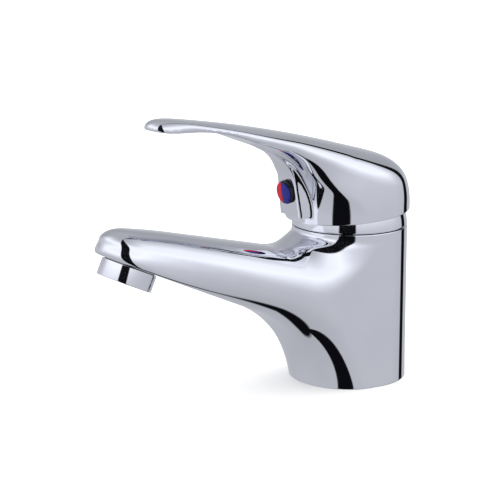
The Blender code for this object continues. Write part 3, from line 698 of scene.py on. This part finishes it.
def moulded(name, low, high, rough, coat=0.0, shine=0.5):
    """Moulded plastic, rubber or ceramic, mottled between two colours."""
    made, tree, shader = new_material(name)
    mottle = spread(tree, noise(tree, 90, 4), 0.0, 1.0)
    tree.links.new(tinted(tree, mottle, low, high), shader.inputs["Base Color"])
    tree.links.new(spread(tree, noise(tree, 400, 4), *rough), shader.inputs["Roughness"])
    shader.inputs["Specular IOR Level"].default_value = shine
    shader.inputs["Coat Weight"].default_value = coat
    shader.inputs["Coat Roughness"].default_value = 0.05
    bump(tree, shader, noise(tree, 900, 3), 0.08, 0.0001)
    return made


def rubber():
    return moulded("seal_rubber", (0.018, 0.018, 0.02), (0.035, 0.035, 0.037), (0.6, 0.8))


def dress(look, *objects):
    """Gives each object one material."""
    for obj in objects:
        obj.data.materials.clear()
        obj.data.materials.append(look)


# ---------------------------------------------------------------- pieces


def make_body(look):
    """The body with its spout: cartridge chamber, gasket groove, inlets, stud and aerator seat."""
    shell = cast_shell(body_field, *BODY_GRID)
    up, down = Vector((0, 0, 1)), Vector((0, 0, -1))
    rim = trim(shell, Vector((0, 0, BODY_HEIGHT - RIM_ROUNDING)), up)
    foot = trim(shell, Vector((0, 0, RIM_ROUNDING)), down)
    chamber = [
        (NUT_BORE_RADIUS, BODY_HEIGHT),
        (NUT_BORE_RADIUS, NUT_SHOULDER),
        (CHAMBER_RADIUS, NUT_SHOULDER),
        (CHAMBER_RADIUS, CHAMBER_FLOOR),
    ]
    rings = rolled_rim(body_field, rim, up, RIM_ROUNDING) + circle_through(rim, chamber)
    skin(shell, rim, rings, (0, 0, CHAMBER_FLOOR))
    groove = [
        (GROOVE_OUTER, 0.0),
        (GROOVE_OUTER, GROOVE_DEPTH),
        (GROOVE_INNER, GROOVE_DEPTH),
        (GROOVE_INNER, 0.0),
    ]
    rings = rolled_rim(body_field, foot, down, RIM_ROUNDING) + circle_through(foot, groove)
    skin(shell, foot, rings, (0, 0, 0))
    body = finished("body_casting", shell)
    holes = []
    for i, (x, y) in enumerate(INLETS):
        hole = cylinder(f"cut_inlet_{i}", INLET_RADIUS, -CUT_PAST, CHAMBER_FLOOR + CUT_PAST, 48)
        holes.append(settle(hole, Matrix.Translation((x, y, 0))))
    stud = cylinder("cut_stud", STUD_RADIUS, -CUT_PAST, STUD_DEPTH, 48)
    holes.append(settle(stud, Matrix.Translation((*STUD, 0))))
    seat = cylinder("cut_aerator_seat", AERATOR_BORE_RADIUS, -3 * CUT_PAST, AERATOR_BORE_DEPTH)
    holes.append(settle(seat, aerator_frame()))
    bore(body, *holes)
    polish(body, body_field)
    dress(look, body)
    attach(body, "root")
    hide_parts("body")


def make_ring(look):
    """The ring: a zone of a sphere about the pivot, rounded where it meets the body."""
    top_edge, top_ease = 0.5 * MM, 0.15 * MM
    lowest = math.asin((RING_FOOT - PIVOT.z) / RING_SPHERE_RADIUS)
    highest = math.asin((RING_TOP - top_edge - PIVOT.z) / RING_SPHERE_RADIUS)
    steps, foot_steps = 12, 4
    zone = []
    for k in range(steps + 1):
        angle = highest + (lowest - highest) * k / steps
        radius = RING_SPHERE_RADIUS * math.cos(angle)
        zone.append((radius, PIVOT.z + RING_SPHERE_RADIUS * math.sin(angle)))
    outer, foot = zone.pop()
    for k in range(foot_steps + 1):
        turn = math.pi / 2 * k / foot_steps
        inward, up = 1 - math.cos(turn), 1 - math.sin(turn)
        zone.append((outer - RING_ROUNDING * inward, foot + RING_ROUNDING * up))
    brow = zone[0][0]
    inside = [
        (RING_BORE_RADIUS, RING_FOOT),
        (RING_BORE_RADIUS, RING_TOP - RING_LIP_THICKNESS),
        (RING_LIP_RADIUS, RING_TOP - RING_LIP_THICKNESS),
        (RING_LIP_RADIUS, RING_TOP),
        (brow - top_edge, RING_TOP),
        (brow - top_ease, RING_TOP - top_ease),
    ]
    ring = turned("bonnet_ring_polished", zone + inside, 192)
    dress(look, ring)
    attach(ring, "root")
    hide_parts("bonnet_ring")


def inner_hem(outer, middle, down):
    """Where the hem's plane meets the round hollow, one point for each of the outer edge's."""
    height = (middle - PIVOT).dot(down)
    centre = PIVOT + down * height
    radius = math.sqrt(SKIRT_SPHERE_RADIUS**2 - height**2)
    return [centre + (Vector(point) - centre).normalized() * radius for point in outer]


def hem_to_boss(hem):
    """Rings from the skirt's inner edge up the round hollow and down the boss on the stem."""
    axis = stem_frame().to_3x3() @ Vector((0, 0, 1))
    boss_polar = math.asin(BOSS_RADIUS / SKIRT_SPHERE_RADIUS)
    starts = [(Vector(point) - PIVOT).normalized() for point in hem]
    steps = 14
    rings = [[] for _ in range(steps + 1)]
    for start in starts:
        polar = start.angle(axis)
        sideways = (start - axis * start.dot(axis)).normalized()
        for k in range(steps + 1):
            angle = polar + (boss_polar - polar) * k / steps
            direction = axis * math.cos(angle) + sideways * math.sin(angle)
            rings[k].append(PIVOT + direction * SKIRT_SPHERE_RADIUS)
    drop = SKIRT_SPHERE_RADIUS * math.cos(boss_polar) - BOSS_LOW
    rings.append([point - axis * drop for point in rings[-1]])
    return rings, PIVOT + axis * BOSS_LOW


def make_handle(look):
    """The dome, nose and lever, hollow under the dome, with the seat for the indicator."""
    shell = cast_shell(handle_field, *HANDLE_GRID)
    down = Matrix.Rotation(SKIRT_TILT, 3, "X") @ Vector((0, 0, -1))
    middle = Vector((0, 0, SKIRT_MIDDLE_HEIGHT))
    hem = trim(shell, middle - down * RIM_ROUNDING, down)
    rings = rolled_rim(handle_field, hem, down, RIM_ROUNDING)
    inner = inner_hem(rings[-1], middle, down)
    hollow, boss_end = hem_to_boss(inner)
    skin(shell, hem, rings + [inner] + hollow[1:], boss_end)
    handle = finished("handle_casting", shell)
    seat_floor = NOSE_FACE - PLUG_SEAT_DEPTH
    seat = turned(
        "cut_plug_seat",
        [
            (0, PLUG_SEAT_MOUTH),
            (PLUG_SEAT_RADIUS, PLUG_SEAT_MOUTH),
            (PLUG_SEAT_RADIUS, seat_floor),
            (PLUG_SHANK_RADIUS + GAP, seat_floor),
            (PLUG_SHANK_RADIUS + GAP, PLUG_SHANK_END - CUT_PAST),
            (0, PLUG_SHANK_END - CUT_PAST),
        ],
    )
    bore(handle, settle(seat, screw_frame()))
    polish(handle, handle_field)
    dress(look, handle)
    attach(handle, "handle")
    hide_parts("handle_lever")


def make_indicator(black, red, blue):
    """The black cap in the nose, with a red and a blue half on its face."""
    low, high = NOSE_FACE - PLUG_CAP_DEPTH, NOSE_FACE + PLUG_PROUD
    plug = turned(
        "indicator_cap",
        softened(
            [
                (0, high),
                (PLUG_RADIUS, high),
                (PLUG_RADIUS, low),
                (PLUG_SHANK_RADIUS, low),
                (PLUG_SHANK_RADIUS, PLUG_SHANK_END),
                (0, PLUG_SHANK_END),
            ],
            PLUG_ROUNDING,
        ),
        96,
    )
    dress(black, settle(plug, screw_frame()))
    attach(plug, "handle")
    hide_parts("indicator_plug")
    make_lens("hot_lens", -1, red, "hot_marker")
    make_lens("cold_lens", 1, blue, "cold_marker")


def make_lens(name, side, look, node):
    """Half of the indicator's face, slightly domed, with a rounded outer edge."""
    low = NOSE_FACE + PLUG_PROUD + GAP
    top, radius = low + MARKER_THICKNESS, PLUG_RADIUS - MARKER_RIM
    shape = bmesh.new()
    across, up = 20, 36
    rows = []
    for j in range(up + 1):
        angle = -math.pi / 2 + math.pi * j / up
        rows.append(
            [
                (MARKER_GAP + radius * math.cos(angle) * i / across, radius * math.sin(angle))
                for i in range(across + 1)
            ]
        )

    def height(x, y):
        out = min(math.hypot(x, y) / radius, 1.0)
        past_shoulder = max(out - MARKER_SHOULDER, 0.0) / (1 - MARKER_SHOULDER)
        return top + MARKER_DOME * (1 - out**2) - MARKER_SHOULDER_DROP * past_shoulder**2

    for is_face in (True, False):
        grid = [
            [shape.verts.new((side * x, y, height(x, y) if is_face else low)) for x, y in row]
            for row in rows
        ]
        for j in range(up):
            for i in range(across):
                shape.faces.new((grid[j][i], grid[j][i + 1], grid[j + 1][i + 1], grid[j + 1][i]))
    bmesh.ops.remove_doubles(shape, verts=shape.verts, dist=WELD_REACH)
    bmesh.ops.bridge_loops(shape, edges=[e for e in shape.edges if e.is_boundary])
    lens = finished(name, shape)
    smooth(lens)
    dress(look, settle(lens, screw_frame()))
    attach(lens, "handle")
    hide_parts(node)


def make_aerator(look, insert):
    """The aerator's housing, screwed into the spout, and the screen in its mouth."""
    mouth = -AERATOR_EXPOSED
    lip_top = mouth + SLEEVE_LIP_THICKNESS
    profile = softened(
        [
            (SLEEVE_COLLAR_RADIUS, SLEEVE_COLLAR_HEIGHT),
            (SLEEVE_COLLAR_RADIUS, -GAP),
            (AERATOR_RADIUS, -GAP),
            (AERATOR_RADIUS, mouth),
            (SLEEVE_LIP_RADIUS, mouth),
            (SLEEVE_LIP_RADIUS, lip_top),
            (SLEEVE_BORE_RADIUS, lip_top),
            (SLEEVE_BORE_RADIUS, SLEEVE_COLLAR_HEIGHT),
        ]
    )
    housing = turned("aerator_sleeve", profile, 160)
    dress(look, settle(housing, aerator_frame()))
    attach(housing, "root")
    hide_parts("aerator_housing")
    low = lip_top + GAP
    screen = honeycomb("aerator_mesh", SCREEN_RADIUS, low, low + SCREEN_THICKNESS)
    dress(insert, settle(screen, aerator_frame()))
    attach(screen, "root")
    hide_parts("aerator_screen")


def honeycomb(name, radius, low, high):
    """A disc pierced by a honeycomb of six-sided holes."""
    disc = cylinder(name, radius, low, high)
    shape = bmesh.new()
    cell_radius = (CELL_PITCH - CELL_WALL) / math.sqrt(3)
    cell_turn = Matrix.Rotation(math.pi / 6, 4, "Z")
    rows = int(radius / CELL_PITCH) + 1
    for row in range(-rows, rows + 1):
        for column in range(-rows, rows + 1):
            x = (column + (row % 2) / 2) * CELL_PITCH
            y = row * CELL_PITCH * math.sqrt(3) / 2
            if math.hypot(x, y) + CELL_PITCH / 2 > radius - CELL_MARGIN:
                continue
            bmesh.ops.create_cone(
                shape,
                cap_ends=True,
                segments=6,
                radius1=cell_radius,
                radius2=cell_radius,
                depth=high - low + 2 * CUT_PAST,
                matrix=Matrix.Translation((x, y, (low + high) / 2)) @ cell_turn,
            )
    bore(disc, finished("cut_cells", shape))
    smooth(disc)
    return disc


def dress_hidden_parts():
    """Materials for the parts that stay as the frame has them."""
    nodes = frame["nodes"]
    seals = ("base_gasket", "hot_inlet_seal", "cold_inlet_seal", "outlet_seal", "disc_seal")
    dress(rubber(), *[nodes[n] for n in seals + ("housing_o_ring", "aerator_washer")])
    brass = plain_metal("turned_brass", (0.62, 0.44, 0.18), (0.75, 0.56, 0.28), (0.2, 0.35), 120)
    dress(brass, nodes["retaining_nut"], nodes["spindle"])
    steel = plain_metal("turned_steel", (0.48, 0.48, 0.5), (0.6, 0.6, 0.62), (0.18, 0.32), 150)
    dress(steel, nodes["pivot_pin"], nodes["handle_screw"])
    white = moulded("white_moulding", (0.72, 0.72, 0.69), (0.8, 0.8, 0.78), (0.35, 0.5))
    dress(white, nodes["cartridge_base"], nodes["cartridge_housing"], nodes["aerator_core"])
    grey = moulded("grey_moulding", (0.5, 0.52, 0.52), (0.6, 0.62, 0.62), (0.35, 0.5))
    dress(grey, nodes["turret"])
    red = moulded("red_moulding", (0.6, 0.06, 0.05), (0.72, 0.1, 0.08), (0.35, 0.5))
    dress(red, nodes["limit_ring"])
    carrier = moulded("blue_moulding", (0.1, 0.22, 0.5), (0.15, 0.3, 0.6), (0.35, 0.5))
    dress(carrier, nodes["disc_carrier"])
    ceramic = moulded("alumina", (0.84, 0.82, 0.77), (0.9, 0.88, 0.84), (0.12, 0.2), coat=0.3)
    dress(ceramic, nodes["fixed_disc"], nodes["moving_disc"])


# ---------------------------------------------------------------- studio


def maths(tree, operation, *values):
    """A Math node over numbers or other nodes' outputs."""
    node = tree.nodes.new("ShaderNodeMath")
    node.operation = operation
    for socket, value in zip(node.inputs, values):
        if isinstance(value, (int, float)):
            socket.default_value = value
        else:
            tree.links.new(value, socket)
    return node.outputs[0]


def from_middle(tree, azimuth, middle):
    """How far round an azimuth stands from another, in radians, either way."""
    turned_back = maths(tree, "SUBTRACT", azimuth, math.radians(middle))
    return maths(tree, "ABSOLUTE", maths(tree, "WRAP", turned_back, math.pi, -math.pi))


def dark_panel(tree, azimuth, start, end, soft):
    """1 between two azimuths in degrees, fading to 0 over a few degrees outside them."""
    half = math.radians((end - start) / 2)
    away = from_middle(tree, azimuth, (start + end) / 2)
    return spread(tree, away, 1.0, 0.0, half, half + math.radians(soft))


def tones(tree, height, stops):
    """Brightness by the height of a direction, from -1 straight down to 1 straight up."""
    node = tree.nodes.new("ShaderNodeValToRGB")
    tree.links.new(spread(tree, height, 0.0, 1.0, -1.0, 1.0), node.inputs[0])
    elements = node.color_ramp.elements
    while len(elements) < len(stops):
        elements.new(0.5)
    for element, (place, tone) in zip(elements, stops):
        element.position = (place + 1) / 2
        element.color = (*(tone * part for part in STUDIO_TINT), 1.0)
    return node.outputs[0]


def mixed_colour(tree, factor, first, second):
    """One node's colour mixed with a second, which is another node's or a plain one."""
    node = tree.nodes.new("ShaderNodeMix")
    node.data_type = "RGBA"
    tree.links.new(factor, node.inputs[0])
    tree.links.new(first, node.inputs[6])
    if isinstance(second, tuple):
        node.inputs[7].default_value = second
    else:
        tree.links.new(second, node.inputs[7])
    return node.outputs[2]


def make_studio():
    """A pale room for the camera, and tall light and dark panels for the chrome to reflect."""
    world = bpy.data.worlds.new("studio")
    bpy.context.scene.world = world
    world.use_nodes = True
    tree = world.node_tree
    tree.nodes.clear()
    direction = tree.nodes.new("ShaderNodeTexCoord").outputs["Generated"]
    parts = tree.nodes.new("ShaderNodeSeparateXYZ")
    tree.links.new(direction, parts.inputs[0])
    x, y, z = parts.outputs
    azimuth = maths(tree, "ARCTAN2", x, maths(tree, "MULTIPLY", y, -1.0))
    front = dark_panel(tree, azimuth, *FRONT_FLAG)
    panels = maths(tree, "MAXIMUM", front, dark_panel(tree, azimuth, *BACK_FLAG))
    table = spread(tree, z, 1.0, 0.0, *DARK_TABLE)
    dark = maths(tree, "MAXIMUM", panels, table)
    behind = spread(tree, from_middle(tree, azimuth, BACKDROP_MIDDLE), 1.0, 0.0, *BACKDROP_REACH)
    room = mixed_colour(tree, behind, tones(tree, z, ROOM_TONES), tones(tree, z, BACKDROP_TONES))
    reflected = tree.nodes.new("ShaderNodeBackground")
    tree.links.new(mixed_colour(tree, dark, room, FLAG_BLACK), reflected.inputs[0])
    pale = tree.nodes.new("ShaderNodeBackground")
    pale.inputs[0].default_value = (1.0, 1.0, 1.0, 1)
    pale.inputs[1].default_value = ROOM_BRIGHTNESS
    path = tree.nodes.new("ShaderNodeLightPath")
    choose = tree.nodes.new("ShaderNodeMixShader")
    tree.links.new(path.outputs["Is Glossy Ray"], choose.inputs[0])
    tree.links.new(pale.outputs[0], choose.inputs[1])
    tree.links.new(reflected.outputs[0], choose.inputs[2])
    out = tree.nodes.new("ShaderNodeOutputWorld")
    tree.links.new(choose.outputs[0], out.inputs[0])


def make_floor():
    """A pale paper floor that the chrome doesn't mirror."""
    made, tree, shader = new_material("floor_paper")
    grain = spread(tree, noise(tree, 300, 4), 0.0, 1.0)
    tint = tinted(tree, grain, (0.93, 0.93, 0.93), (0.95, 0.95, 0.95))
    tree.links.new(tint, shader.inputs["Base Color"])
    shader.inputs["Roughness"].default_value = 0.9
    shader.inputs["Specular IOR Level"].default_value = 0.0
    shape = bmesh.new()
    bmesh.ops.create_grid(shape, x_segments=8, y_segments=8, size=FLOOR_SIZE)
    floor = finished("floor", shape)
    dress(made, floor)
    floor.visible_glossy = False


def make_camera():
    """The photographed view: from the front right and a little above."""
    data = bpy.data.cameras.new("camera")
    data.sensor_width = CAMERA_SENSOR
    data.lens = CAMERA_LENS
    camera = bpy.data.objects.new("camera", data)
    bpy.context.scene.collection.objects.link(camera)
    level = CAMERA_DISTANCE * math.cos(CAMERA_ELEVATION)
    camera.location = (
        level * math.sin(CAMERA_AZIMUTH),
        -level * math.cos(CAMERA_AZIMUTH),
        CAMERA_DISTANCE * math.sin(CAMERA_ELEVATION),
    )
    camera.rotation_euler = (math.pi / 2 - CAMERA_PITCH, 0.0, CAMERA_AZIMUTH + CAMERA_YAW)
    bpy.context.scene.camera = camera


def build():
    plate = chrome()
    make_body(plate)
    make_ring(plate)
    make_handle(plate)
    make_aerator(plate, moulded("screen_moulding", (0.6, 0.6, 0.62), (0.7, 0.7, 0.72), (0.3, 0.45)))
    make_indicator(
        moulded("black_cap", (0.008, 0.008, 0.009), (0.014, 0.014, 0.016), (0.2, 0.3), shine=0.2),
        moulded("hot_red", (0.38, 0.005, 0.02), (0.48, 0.008, 0.03), (0.25, 0.35), shine=0.2),
        moulded("cold_blue", (0.01, 0.013, 0.14), (0.013, 0.018, 0.2), (0.25, 0.35), shine=0.2),
    )
    dress_hidden_parts()
    make_studio()
    make_floor()
    make_camera()
    bpy.context.scene.view_settings.view_transform = "Standard"


build()
